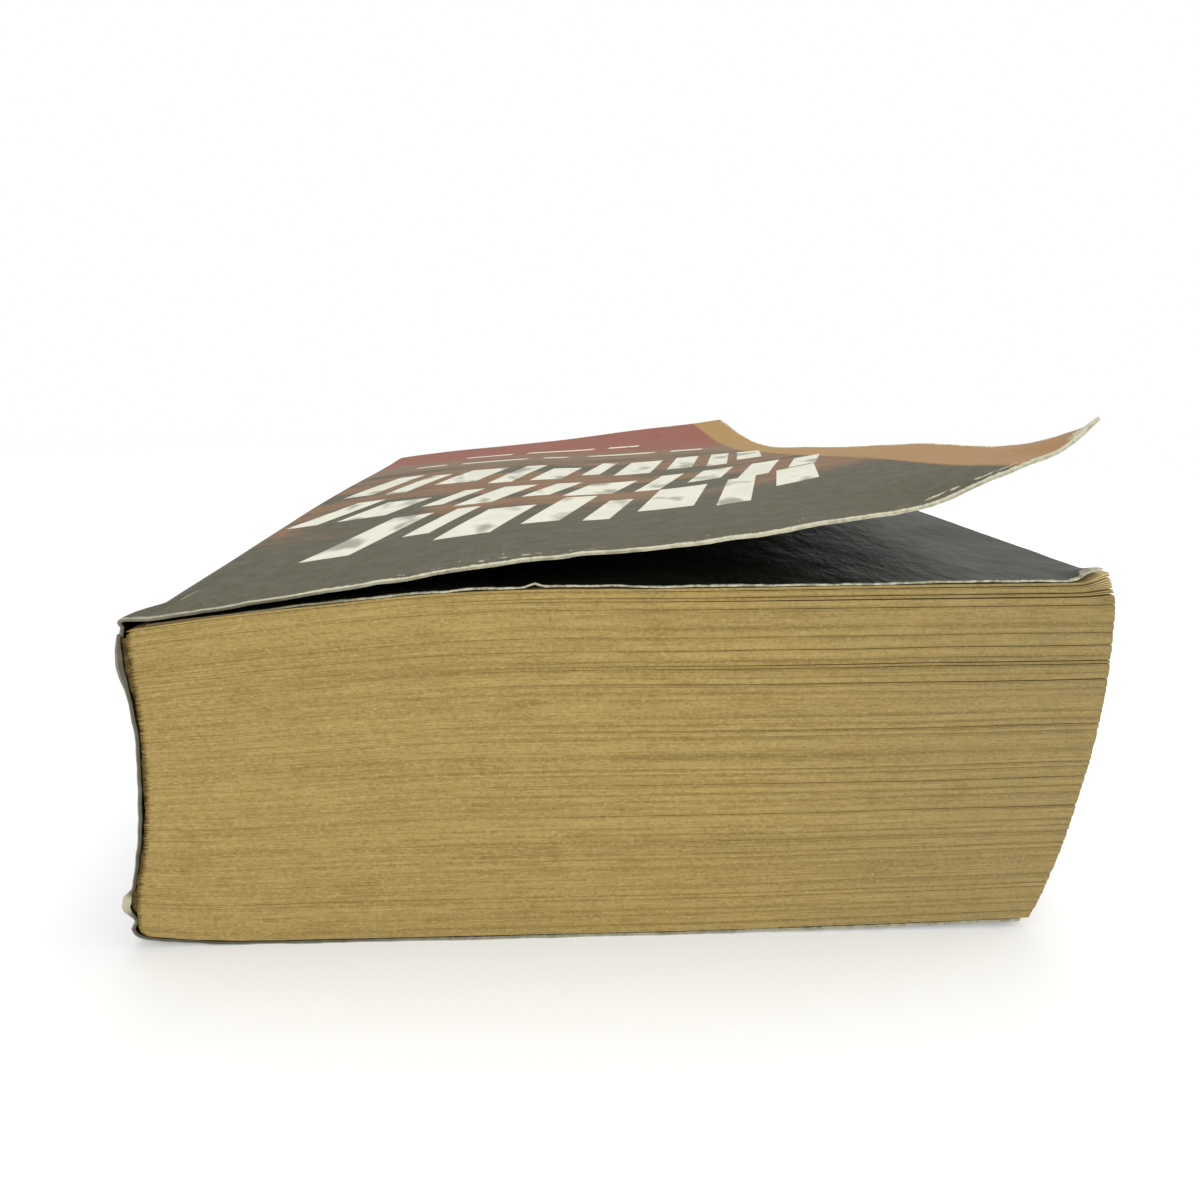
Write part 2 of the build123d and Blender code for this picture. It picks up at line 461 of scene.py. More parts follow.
def new_material(name):
    """An empty material, its nodes, its shader and its output."""
    material = bpy.data.materials.new(name)
    material.use_nodes = True
    nodes = Nodes(material.node_tree)
    material.node_tree.nodes.clear()
    shader = nodes.add("ShaderNodeBsdfPrincipled")
    output = nodes.add("ShaderNodeOutputMaterial")
    nodes.feed(output.inputs["Surface"], shader.outputs[0])
    return material, nodes, shader


def bump(nodes, shader, height, distance, strength=1.0, normal=None):
    """Feeds a height to the shader's normal."""
    inputs = {"Height": height, "Distance": distance, "Strength": strength, "Normal": normal}
    node = nodes.add("ShaderNodeBump", inputs)
    nodes.feed(shader.inputs["Normal"], node.outputs[0])
    return node.outputs[0]


def rest_place(nodes):
    """Where a point lies at rest, and its three parts."""
    place = nodes.add("ShaderNodeAttribute", attribute_name="place").outputs["Vector"]
    parts = nodes.add("ShaderNodeSeparateXYZ", {0: place}).outputs
    return place, parts[0], parts[1], parts[2]


def paper_material(colours):
    """Aged newsprint: streaky fibres, specks and a tint for each leaf, with painted shade at the gaps between
    gatherings, painted light in their middles and a painted highlight on the curled corners.
    """
    material, nodes, shader = new_material("aged newsprint")
    place = nodes.add("ShaderNodeTexCoord").outputs["Object"]
    tint = nodes.attribute("tint")
    level = nodes.attribute("level")
    inside = nodes.attribute("inside")
    curled = nodes.attribute("curled")
    x = nodes.add("ShaderNodeSeparateXYZ", {0: place}).outputs[0]
    base = colours.paper[:]
    light = shade(base, 1.32, 1.34, 1.5)
    dark = shade(base, 0.62, 0.6, 0.5)
    free = nodes.between(x, spine_x + 8 * MM, fore_edge_top_x - 25 * MM, 0.3, 1.0)
    bands = nodes.noise(nodes.spread(x, 20, None, 1, level, 24), 1.0, detail=3, roughness=0.55)
    streaks = nodes.noise(nodes.spread(x, 170, None, 1, level, 190), 1.0, detail=3, roughness=0.6)
    mottle = nodes.noise(nodes.scaled(place, (0.8, 1, 1.3)), 170, detail=4, roughness=0.6)
    fibres = nodes.noise(nodes.scaled(place, (0.6, 1, 1), (0.4, 0, 0)), 3600, detail=3, roughness=0.7)
    warm = nodes.noise(nodes.scaled(place, (0.4, 1, 1), (0, 0, 0.3)), 700, detail=2)
    colour = nodes.mix(nodes.between(bands, 0.3, 0.7), shade(base, 0.88), shade(base, 1.08))
    # Painted shade darkens the leaves next to the gaps between gatherings, and painted light brightens the middle of
    # each gathering, more where the leaves fan out
    colour = nodes.mix(nodes.math("MULTIPLY", nodes.between(inside, 0.0, 0.6, 0.5, 0.0), free), colour, dark)
    colour = nodes.mix(nodes.math("MULTIPLY", nodes.between(inside, 0.5, 1.0, 0.0, 0.25), free), colour, light)
    for value, low, high, share_at_low, share_at_high, towards in (
        (tint, 0.5, 1.0, 0, 0.15, light),
        (tint, 0.0, 0.4, 0.15, 0, dark),
        (mottle, 0.5, 0.75, 0, 0.25, light),
        (mottle, 0.28, 0.45, 0.3, 0, dark),
        (warm, 0.55, 0.75, 0, 0.3, shade(base, 1.1, 0.95, 0.9)),
        (streaks, 0.5, 0.66, 0, 0.45, light),
        (streaks, 0.32, 0.48, 0.42, 0, dark),
        (fibres, 0.53, 0.68, 0, 0.8, light),
        (fibres, 0.32, 0.46, 0.6, 0, dark),
    ):
        colour = nodes.mix(nodes.between(value, low, high, share_at_low, share_at_high), colour, towards)
    # The leaves turn dark brown, in the glue's colour, towards their spine ends
    from_spine = nodes.attribute("from_spine")
    darker_by_spine_ends = nodes.between(nodes.math("MULTIPLY_ADD", tint, -0.25 * MM, from_spine), -0.05 * MM, 0.4 * MM, 0.8, 0.0)
    colour = nodes.mix(darker_by_spine_ends, colour, shade(colours.glue, 1.2))
    greyed = nodes.between(x, spine_x + 55 * MM, fore_edge_top_x, 0.0, 0.3)
    colour = nodes.mix(greyed, colour, (0.22, 0.19, 0.11))
    # Painted highlight: the curled corners of the top leaves are made much paler
    colour = nodes.mix(nodes.between(curled, 0.05, 0.55, 0.0, 0.8), colour, shade(base, 1.7, 1.9, 2.8))
    nodes.feed(shader.inputs["Base Color"], colour)
    nodes.feed(shader.inputs["Roughness"], nodes.between(mottle, 0.2, 0.8, 0.82, 0.96))
    shader.inputs["Specular IOR Level"].default_value = 0.12
    bump(nodes, shader, nodes.math("ADD", streaks, fibres), 0.12 * MM, 0.9)
    return material


def print_colour(nodes, colours, x, y, place):
    """The cover's print: a charcoal field, soft brown fields, a red band at the head and ochre at the fore-edge."""
    charcoal = nodes.mix(
        nodes.between(nodes.noise(nodes.scaled(place, (1, 0.5, 1)), 1400, detail=3), 0.4, 0.6),
        shade(colours.charcoal, 0.9),
        shade(colours.charcoal, 1.1),
    )
    patches = nodes.noise(nodes.scaled(place, (1, 1.9, 1), (0.31, 0.12, 0)), 34, detail=1.5, roughness=0.45)
    streaks = nodes.noise(nodes.scaled(place, (0.12, 2.2, 1)), 420, detail=3, roughness=0.6)
    middle = nodes.window(y, tail_y + 34 * MM, tail_y + 46 * MM, tail_y + 112 * MM, tail_y + 128 * MM)
    brown_here = nodes.math("MULTIPLY", nodes.between(patches, 0.4, 0.5), middle)
    brown = nodes.mix(
        nodes.between(streaks, 0.35, 0.7), shade(colours.rust, 0.74), shade(colours.rust, 1.3)
    )
    colour = nodes.mix(nodes.math("MULTIPLY", brown_here, 0.85), charcoal, brown)
    drift = nodes.math("MULTIPLY", nodes.math("SUBTRACT", patches, 0.5), 40 * MM)
    high = nodes.math("ADD", y, drift)
    warm = nodes.between(high, tail_y + 116 * MM, tail_y + 132 * MM)
    tan = nodes.mix(nodes.between(streaks, 0.3, 0.75), (0.2, 0.115, 0.065), (0.33, 0.19, 0.1))
    colour = nodes.mix(nodes.math("MULTIPLY", warm, 0.8), colour, tan)
    red = nodes.mix(nodes.between(streaks, 0.3, 0.8), shade(colours.red, 0.85), colours.red[:])
    colour = nodes.mix(nodes.between(high, tail_y + 140 * MM, tail_y + 158 * MM), colour, red)
    band = nodes.between(x, cover_end_x - 9.4 * MM, cover_end_x - 8.4 * MM)
    near_tail = nodes.between(y, tail_y, tail_y + 110 * MM)
    ochre = nodes.mix(near_tail, (0.4, 0.21, 0.075), colours.ochre[:])
    return nodes.mix(band, colour, ochre)


def worn_share(nodes, place, reach):
    """Share of bare board, ragged over about reach; then the distance from the worn edge and the two noises."""
    edge = nodes.attribute("edge")
    ragged = nodes.noise(place, 1100, detail=4, roughness=0.7)
    broad = nodes.noise(place, 140, detail=2)
    depth = nodes.math("MULTIPLY", nodes.between(ragged, 0.36, 0.64), nodes.between(broad, 0.35, 0.65, 0.3, 1.2))
    depth = nodes.math("MULTIPLY", depth, reach)
    return nodes.between(nodes.math("SUBTRACT", edge, depth), 0.0, 0.12 * MM, 1, 0), edge, ragged, broad


def card_material(name, colours, reach, printed=True):
    """Printed, laminated card whose worn margins, crease and specks show bare board, greyer round the spine. The worn
    rim's upper half is a painted highlight and its lower half painted shade, and the inner face is painted near-black
    as shade.
    """
    material, nodes, shader = new_material(name)
    place, x, y, z = rest_place(nodes)
    side = nodes.attribute("side")
    colour = print_colour(nodes, colours, x, y, place) if printed else colours.charcoal[:]
    reach = nodes.between(x, spine_x + 6 * MM, spine_x + 60 * MM, reach * 0.4, reach)
    bare, edge, ragged, broad = worn_share(nodes, place, reach)
    speck_noise = nodes.noise(nodes.scaled(place, (1, 0.7, 1)), 1500, detail=2, roughness=0.6)
    speck_zone = nodes.math("MULTIPLY", nodes.between(edge, 3 * MM, 12 * MM, 1, 0), nodes.between(broad, 0.45, 0.6))
    specks = nodes.math("MULTIPLY", nodes.between(speck_noise, 0.69, 0.73), speck_zone)
    # Flakes lie in a line a little inside the tail edge
    flake_noise = nodes.noise(nodes.scaled(place, (0.5, 1, 1), (0.7, 0, 0)), 900, detail=3, roughness=0.6)
    from_tail = nodes.math("SUBTRACT", y, tail_y)
    flake_line = nodes.math("ABSOLUTE", nodes.math("SUBTRACT", from_tail, 1.9 * MM))
    left_run = nodes.window(x, *(spine_x + part * MM for part in (27, 31, 50, 56)))
    right_run = nodes.window(x, *(spine_x + part * MM for part in (83, 86, 96, 98)))
    runs = nodes.math("MAXIMUM", left_run, right_run)
    flakes = nodes.math("MULTIPLY", nodes.between(flake_line, 0.1 * MM, 0.5 * MM, 1, 0), runs)
    flakes = nodes.math("MULTIPLY", flakes, nodes.between(flake_noise, 0.53, 0.57))
    specks = nodes.math("MULTIPLY", nodes.math("MAXIMUM", specks, flakes), nodes.between(side, 0.0, 0.5))
    # The crease across the near corner is cracked white for part of its length
    line = nodes.math("MULTIPLY_ADD", from_tail, CREASE_SLOPE, front_hinge.x + CREASE_START)
    off_line = nodes.math("ABSOLUTE", nodes.math("SUBTRACT", x, line))
    crack = nodes.math(
        "MULTIPLY",
        nodes.between(nodes.math("MULTIPLY_ADD", ragged, -0.3 * MM, off_line), -0.06 * MM, 0.02 * MM, 1, 0),
        nodes.window(from_tail, 7.5 * MM, 8.5 * MM, 10 * MM, 12 * MM),
    )
    crack = nodes.math("MULTIPLY", crack, nodes.math("GREATER_THAN", z, FRONT_FOLD_LOW))
    # Reading has left faint creases along the spine
    contours = nodes.noise(nodes.scaled(place, (0.3, 0.02, 1), (0.2, 0, 0)), 110, detail=1.5)
    crease = nodes.between(nodes.math("ABSOLUTE", nodes.math("SUBTRACT", contours, 0.5)), 0.004, 0.012, 1, 0)
    crease = nodes.math("MULTIPLY", crease, nodes.between(z, 4 * MM, 8 * MM))
    crease = nodes.math("MULTIPLY", crease, nodes.between(z, 31 * MM, 35 * MM, 1, 0))
    crease = nodes.math("MULTIPLY", crease, nodes.between(ragged, 0.35, 0.6, 0.1, 0.55))
    worn = nodes.math("MAXIMUM", nodes.math("MAXIMUM", bare, specks), nodes.math("MAXIMUM", crack, crease), clamp=True)
    clean = nodes.math(
        "MULTIPLY",
        nodes.between(z, FRONT_FOLD_LOW + 0.3 * MM, front_hinge.z + 0.3 * MM, 0.7, 1.0),
        nodes.between(x, spine_x + 2 * MM, spine_x + 26 * MM, 0.6, 1.0),
    )
    clean = nodes.math("MULTIPLY", clean, nodes.between(ragged, 0.3, 0.65, 0.75, 1.0))
    pale = nodes.mix(clean, (0.0, 0.0, 0.0), colours.bare_card[:])
    grime_and_rim_shade = nodes.mix(nodes.between(broad, 0.35, 0.65, 0.1, 0.35), (0.055, 0.05, 0.034), pale)
    towards_edge = nodes.between(x, spine_x + 8 * MM, spine_x + 70 * MM, 0.0, 0.75)
    grime_and_rim_shade = nodes.mix(nodes.math("MULTIPLY", towards_edge, nodes.between(ragged, 0.3, 0.6, 0.6, 1.0)), grime_and_rim_shade, pale)
    frayed = nodes.attribute("frayed")
    # Painted highlight and shade: worn board is pale on the upper face, the rim's upper half and frayed layers; the
    # rim's lower half and the inner face take the darker grime colour as painted shade
    rim_highlight_and_fray = nodes.math("MAXIMUM", nodes.between(side, -0.1, 0.7), frayed)
    board = nodes.mix(rim_highlight_and_fray, grime_and_rim_shade, pale)
    board = nodes.mix(nodes.math("MULTIPLY", frayed, 0.8), board, colours.bare_card[:])
    # Painted shade: the card's inner face is near-black, standing in for the shade under the cover
    outside = nodes.between(side, -0.5, -0.1)
    colour = nodes.mix(outside, (0.012, 0.012, 0.008), colour)
    nodes.feed(shader.inputs["Base Color"], nodes.mix(worn, colour, board))
    scuff = nodes.noise(place, 320, detail=5, roughness=0.7)
    gloss = nodes.between(scuff, 0.3, 0.75, 0.38, 0.52)
    nodes.feed(shader.inputs["Roughness"], nodes.math("MAXIMUM", gloss, nodes.math("MULTIPLY", worn, 0.9)))
    shader.inputs["Specular IOR Level"].default_value = 0.35
    fine = nodes.noise(place, 2200, detail=2)
    height = nodes.math("ADD", nodes.math("MULTIPLY", fine, 0.25), nodes.math("MULTIPLY", worn, -0.8))
    bump(nodes, shader, height, 0.06 * MM, 0.6)
    return material


def foil_material(colours):
    """Pale metal foil with soft creases, whose grey streaks are painted reflections."""
    material, nodes, shader = new_material("pale foil")
    place = rest_place(nodes)[0]
    streaks = nodes.noise(nodes.scaled(place, (1, 0.45, 1)), 150, detail=2, roughness=0.5)
    # Painted reflection: soft grey streaks in the foil's colour
    grey = shade(colours.foil, 0.3)
    colour = nodes.mix(nodes.between(streaks, 0.52, 0.68, 0, 0.85), colours.foil[:], grey)
    nodes.feed(shader.inputs["Base Color"], colour)
    shader.inputs["Metallic"].default_value = 0.2
    nodes.feed(shader.inputs["Roughness"], nodes.between(streaks, 0.3, 0.7, 0.24, 0.4))
    bump(nodes, shader, streaks, 0.3 * MM, 0.5)
    return material


def gloss_leaf_material(colours):
    """Black glossy leaf with light wrinkles, bare along its torn tail edge, which is painted dark brown as shade near
    the spine.
    """
    material, nodes, shader = new_material("glossy black leaf")
    place, x = rest_place(nodes)[:2]
    bare, _, ragged, _ = worn_share(nodes, place, LEAF_WEAR)
    brown = shade(colours.paper, 0.35)
    dust_noise = nodes.noise(nodes.scaled(place, (1, 0.6, 1)), 1300, detail=2, roughness=0.6)
    dust = nodes.between(dust_noise, 0.75, 0.78, 0, 0.8)
    worn = nodes.math("MAXIMUM", bare, dust)
    broad = nodes.noise(nodes.scaled(place, (1, 0.6, 1)), 60, detail=4, roughness=0.6)
    black = nodes.mix(nodes.between(broad, 0.3, 0.7), (0.005, 0.006, 0.003), (0.012, 0.014, 0.006))
    torn = nodes.mix(nodes.between(ragged, 0.38, 0.62), shade(colours.bare_card, 0.4), shade(colours.bare_card, 0.85))
    # Painted shade: towards the spine the torn edge turns dark brown, for the shade under the cover's corner
    torn = nodes.mix(nodes.between(x, spine_x + 8 * MM, spine_x + 38 * MM), brown, torn)
    nodes.feed(shader.inputs["Base Color"], nodes.mix(worn, black, torn))
    gloss = nodes.between(broad, 0.25, 0.75, 0.24, 0.4)
    nodes.feed(shader.inputs["Roughness"], nodes.math("MAXIMUM", gloss, nodes.math("MULTIPLY", worn, 0.9)))
    shader.inputs["Specular IOR Level"].default_value = 0.5
    wrinkles = nodes.noise(nodes.scaled(place, (1, 0.4, 1)), 420, detail=4, roughness=0.6)
    bump(nodes, shader, wrinkles, 0.6 * MM, 0.5)
    return material


def glue_material(colours):
    """Dark, lumpy binding glue with pale paper crumbs in it."""
    material, nodes, shader = new_material("binding glue")
    place = nodes.add("ShaderNodeTexCoord").outputs["Object"]
    lumps = nodes.noise(place, 900, detail=5, roughness=0.7)
    crumbs = nodes.noise(nodes.scaled(place, (1, 1, 2)), 2600, detail=2)
    colour = nodes.mix(nodes.between(lumps, 0.3, 0.7), shade(colours.glue, 0.5), shade(colours.glue, 1.6))
    colour = nodes.mix(nodes.between(crumbs, 0.64, 0.72, 0, 0.6), colour, shade(colours.paper, 0.7))
    nodes.feed(shader.inputs["Base Color"], colour)
    nodes.feed(shader.inputs["Roughness"], nodes.between(lumps, 0.3, 0.7, 0.6, 0.9))
    shader.inputs["Specular IOR Level"].default_value = 0.15
    bump(nodes, shader, lumps, 0.3 * MM, 0.8)
    return material


# ---------------------------------------------------------------------------------------------------------------
# Leaves, by Geometry Nodes
# ---------------------------------------------------------------------------------------------------------------

LEAF_INPUTS = (
    ("Leaves", "NodeSocketInt"),
    ("First leaf", "NodeSocketInt"),
    ("Last leaf", "NodeSocketInt"),
    ("Steps across", "NodeSocketInt"),
    ("Steps along", "NodeSocketInt"),
    ("Paper", "NodeSocketFloat"),
    ("Looseness", "NodeSocketFloat"),
    ("Gatherings", "NodeSocketInt"),
    ("Corner curl", "NodeSocketFloat"),
    ("Seed", "NodeSocketInt"),
    ("Material", "NodeSocketMaterial"),
)


def leaf_tree():
    """Geometry Nodes that stack leaves between the underside and the top, fanned and uneven at the fore-edge."""
    tree = bpy.data.node_groups.new("stacked leaves", "GeometryNodeTree")
    for name, kind in LEAF_INPUTS:
        tree.interface.new_socket(name=name, in_out="INPUT", socket_type=kind)
    tree.interface.new_socket(name="Leaves made", in_out="OUTPUT", socket_type="NodeSocketGeometry")
    nodes = Nodes(tree)
    given = nodes.add("NodeGroupInput").outputs
    index = nodes.add("GeometryNodeInputIndex").outputs[0]

    def random_value(low, high, offset):
        seed = nodes.math("ADD", given["Seed"], offset)
        inputs = {2: low, 3: high, "ID": index, "Seed": seed}
        return nodes.add("FunctionNodeRandomValue", inputs, data_type="FLOAT").outputs[1]

    def store(geometry, name, value):
        inputs = {"Geometry": geometry, "Name": name, "Value": value}
        return nodes.add("GeometryNodeStoreNamedAttribute", inputs, data_type="FLOAT", domain="POINT").outputs[0]

    def read(name):
        return nodes.add("GeometryNodeInputNamedAttribute", {"Name": name}, data_type="FLOAT").outputs[0]

    # One point for each leaf, with its level at the spine and at the fore-edge, where wide gaps open here and there
    line = nodes.add("GeometryNodeMeshLine", {"Count": given["Leaves"], "Offset": (0, 0, 0)}, mode="OFFSET")
    points = nodes.add("GeometryNodeMeshToPoints", {"Mesh": line.outputs[0]}).outputs[0]
    share = nodes.math("DIVIDE", index, given["Leaves"])

    def gathering(at):
        drift = nodes.math("MULTIPLY", nodes.noise(nodes.spread(at, 11.0), 1.0, detail=2), 5.0)
        return nodes.math("MULTIPLY_ADD", at, given["Gatherings"], drift)

    number = gathering(share)
    phase = nodes.math("FRACT", number)
    following = gathering(nodes.math("DIVIDE", nodes.math("ADD", index, 1), given["Leaves"]))
    last_of_group = nodes.math(
        "COMPARE", nodes.math("SUBTRACT", nodes.math("FLOOR", following), nodes.math("FLOOR", number)), 0.0, 0.5
    )
    last_of_group = nodes.math("SUBTRACT", 1.0, last_of_group)
    towards_top = nodes.between(share, 0.0, 1.0, 0.25, 1.5, smooth=False)
    width = nodes.math("MULTIPLY", nodes.math("POWER", random_value(0.25, 1.0, 1), 2.0), towards_top)
    from_top = nodes.math("SUBTRACT", nodes.math("SUBTRACT", given["Leaves"], 1), index)
    wide_gap = nodes.math("COMPARE", from_top, LEAF_UNDER_GAP, 0.5)
    air = nodes.math("MULTIPLY", last_of_group, width)
    air = nodes.math("ADD", nodes.math("MULTIPLY", wide_gap, 1.5), air)
    air = nodes.math("ADD", air, 0.01)
    total = nodes.add("GeometryNodeAccumulateField", data_type="FLOAT")
    nodes.feed(total.inputs[0], air)
    before = nodes.math("DIVIDE", total.outputs["Trailing"], total.outputs["Total"])
    closed = nodes.math("MULTIPLY", share, nodes.math("SUBTRACT", 1.0, given["Looseness"]))
    fanned = nodes.math("ADD", closed, nodes.math("MULTIPLY", before, given["Looseness"]))
    geometry = store(points, "level", share)
    geometry = store(geometry, "fanned", fanned)
    geometry = store(geometry, "tint", random_value(0.0, 1.0, 2))
    geometry = store(geometry, "uneven_tail", random_value(0.0, 1.0, 3))
    geometry = store(geometry, "uneven_spine", random_value(-1.0, 1.0, 4))
    # How far inside its gathering each leaf lies: it sets the painted shade at the gaps and the painted light between
    # them, and how far the outer leaves are drawn in
    middle_of_group = nodes.math("MULTIPLY", nodes.math("MULTIPLY", phase, nodes.math("SUBTRACT", 1.0, phase)), 4.0)
    geometry = store(geometry, "inside", middle_of_group)
    geometry = store(geometry, "from_top", from_top)
    outside = nodes.math(
        "MAXIMUM",
        nodes.math("LESS_THAN", index, given["First leaf"]),
        nodes.math("GREATER_THAN", index, given["Last leaf"]),
    )
    kept = nodes.add("GeometryNodeDeleteGeometry", {"Geometry": geometry, "Selection": outside}, domain="POINT")

    # One leaf, a closed box whose places run from 0 to 1, crowded towards the tail
    box = nodes.add("GeometryNodeMeshCube", {"Size": (1, 1, 1), "Vertices Z": 2})
    nodes.feed(box.inputs["Vertices X"], given["Steps across"])
    nodes.feed(box.inputs["Vertices Y"], given["Steps along"])
    moved = nodes.add("GeometryNodeTransform", {"Geometry": box.outputs["Mesh"], "Translation": (0.5, 0.5, 0.5)})
    placed = nodes.add("GeometryNodeInstanceOnPoints", {"Points": kept.outputs[0], "Instance": moved.outputs[0]})
    real = nodes.add("GeometryNodeRealizeInstances", {"Geometry": placed.outputs[0]}).outputs[0]

    # The leaf's place in the stack. The points stood at the origin, so positions are the box's own
    raw = nodes.add("GeometryNodeInputPosition").outputs[0]
    own = nodes.add("ShaderNodeSeparateXYZ", {0: raw}).outputs
    across, side = own[0], own[2]
    along = nodes.math("POWER", own[1], 2.2)
    level, fanned = read("level"), read("fanned")
    eased = nodes.between(across, 0.0, 1.0)
    height_share = nodes.math(
        "ADD", nodes.math("MULTIPLY", level, nodes.math("SUBTRACT", 1.0, eased)), nodes.math("MULTIPLY", fanned, eased)
    )
    low = nodes.math("MULTIPLY_ADD", nodes.math("MAXIMUM", nodes.curve(across, UNDERSIDE), 0.0), MM, pages_low[2])
    high = nodes.math("MULTIPLY_ADD", nodes.curve(across, TOP_RISE), fore_edge_rise, spine_top)
    room = nodes.math("SUBTRACT", high, low)
    z = nodes.math("MULTIPLY_ADD", height_share, room, low)
    slot = nodes.math("SUBTRACT", 1.0, nodes.math("MULTIPLY", eased, given["Looseness"]))
    slot = nodes.math("MULTIPLY", nodes.math("MULTIPLY", room, slot), given["Paper"])
    slot = nodes.math("DIVIDE", slot, given["Leaves"])
    z = nodes.math("MULTIPLY_ADD", side, slot, z)
    wave_place = nodes.spread(across, 4.5, along, 1.5, level, 9.0)
    wave = nodes.math("SUBTRACT", nodes.noise(wave_place, 1.0, detail=1), 0.5)
    free = nodes.math("MULTIPLY", nodes.math("MULTIPLY", level, nodes.math("SUBTRACT", 1.0, level)), 4.0)
    free = nodes.math("MULTIPLY", free, nodes.math("MULTIPLY", across, nodes.math("SUBTRACT", 1.3, across)))
    z = nodes.math("MULTIPLY_ADD", nodes.math("MULTIPLY", wave, free), 1.6 * MM, z)

    # Corners of the top leaves curl up at the tail of the fore-edge
    curl = nodes.math("POWER", nodes.between(read("from_top"), 0.0, CURLED_LEAVES, 1.0, 0.0, smooth=False), 1.4)
    curl = nodes.math("MULTIPLY", curl, nodes.between(across, 0.958, 1.012))
    curl = nodes.math("MULTIPLY", curl, nodes.between(along, 0.0, 0.045, 1.0, 0.0))
    z = nodes.math("MULTIPLY_ADD", curl, given["Corner curl"], z)

    # Ends of the leaf. A curve node holds only values from 0 to 1, so the leans are given as shares of their range
    lean_low, lean_high = -1.0, 4.0
    lean_range = lean_high - lean_low
    spine_points = [(t, (lean - lean_low) / lean_range) for t, lean in SPINE_LEAN]
    fore_points = [(t, (lean - lean_low) / lean_range) for t, lean in FORE_EDGE_LEAN]
    spine_lean = nodes.math("MULTIPLY_ADD", nodes.curve(level, spine_points), lean_range * MM, spine_x + lean_low * MM)
    fore_lean = nodes.math(
        "MULTIPLY_ADD", nodes.curve(fanned, fore_points), lean_range * MM, spine_x + leaf_width + lean_low * MM
    )
    spine_end = nodes.math("MULTIPLY_ADD", read("uneven_spine"), 0.16 * MM, spine_lean)
    rounded = nodes.math("MULTIPLY", nodes.between(level, 0.97, 1.0), nodes.between(along, 0.0, 0.04, 0.18, 1.0))
    spine_end = nodes.math("ADD", nodes.math("MULTIPLY_ADD", rounded, 1.3 * MM, spine_end), -LEAF_SPINE_OUT)

    # The lowest leaves keep inside the roll of the back fold
    above_foot = BACK_FOLD_HIGH - spine_foot
    roll_high = above_foot + ROLL_BELOW
    depth = nodes.between(level, 0.0, above_foot / stack_height, above_foot / roll_high, 0.0, smooth=False)
    roll = nodes.math("SQRT", nodes.math("SUBTRACT", 1.0, nodes.math("MULTIPLY", depth, depth)))
    roll_end = nodes.math("MULTIPLY_ADD", roll, -ROLL_REACH, spine_x + BACK_FOLD_REACH + FOOT_CLEAR)
    spine_end = nodes.math("MAXIMUM", spine_end, roll_end)
    fore_end = nodes.math("MULTIPLY_ADD", read("uneven_tail"), -0.05 * MM, fore_lean)
    fore_end = nodes.math("ADD", fore_end, LEAF_FORE_EDGE_OUT)
    x = nodes.math("MULTIPLY_ADD", nodes.math("SUBTRACT", fore_end, spine_end), across, spine_end)
    x = nodes.math("MULTIPLY_ADD", curl, -1.1 * MM, x)

    # Leaves are trimmed unevenly at the tail, and the outer leaves of each gathering lie a little further back
    stepped = nodes.noise(nodes.spread(across, 2.0, None, 1.0, level, 45.0), 1.0, detail=3, roughness=0.6)
    inset = nodes.math("MULTIPLY_ADD", stepped, 0.22 * MM, nodes.math("MULTIPLY", read("uneven_tail"), 0.03 * MM))
    drawn_in = nodes.math("MULTIPLY", nodes.math("SUBTRACT", 1.0, read("inside")), 0.1 * MM)
    inset = nodes.math("MULTIPLY_ADD", drawn_in, nodes.between(across, 0.1, 0.8, 0.3, 1.0), inset)
    first_y = nodes.math("ADD", inset, tail_y)
    y = nodes.math("MULTIPLY_ADD", nodes.math("SUBTRACT", head_y, first_y), along, first_y)
    # The whole stack settles as the sheets do
    x_share = nodes.math("DIVIDE", nodes.math("SUBTRACT", x, spine_x), leaf_width)
    side_share = nodes.between(x_share, *SETTLE_SIDE, 1.0, 0.0)
    y_share = nodes.math("DIVIDE", nodes.math("SUBTRACT", y, tail_y), book_height)
    towards_head = nodes.between(y_share, SETTLE_FROM, 1.0)
    lowered = nodes.math("MULTIPLY", nodes.math("MULTIPLY", side_share, towards_head), SETTLE)
    lowered = nodes.math("MULTIPLY", lowered, nodes.math("DIVIDE", z, spine_top, clamp=True))
    place = nodes.add("ShaderNodeCombineXYZ", {0: x, 1: y, 2: nodes.math("SUBTRACT", z, lowered)})
    # The curl is kept for the painted highlight on the curled corners, and the distance from the spine end for the
    # darker spine ends
    named = store(real, "curled", curl)
    named = store(named, "from_spine", nodes.math("SUBTRACT", x, spine_end))
    shaped = nodes.add("GeometryNodeSetPosition", {"Geometry": named, "Position": place.outputs[0]})
    flat = nodes.add("GeometryNodeSetShadeSmooth", {"Geometry": shaped.outputs[0], "Shade Smooth": False})
    final = nodes.add("GeometryNodeRealizeInstances", {"Geometry": flat.outputs[0]})
    coloured = nodes.add("GeometryNodeSetMaterial", {"Geometry": final.outputs[0], "Material": given["Material"]})
    output = nodes.add("NodeGroupOutput")
    nodes.feed(output.inputs[0], coloured.outputs[0])
    return tree


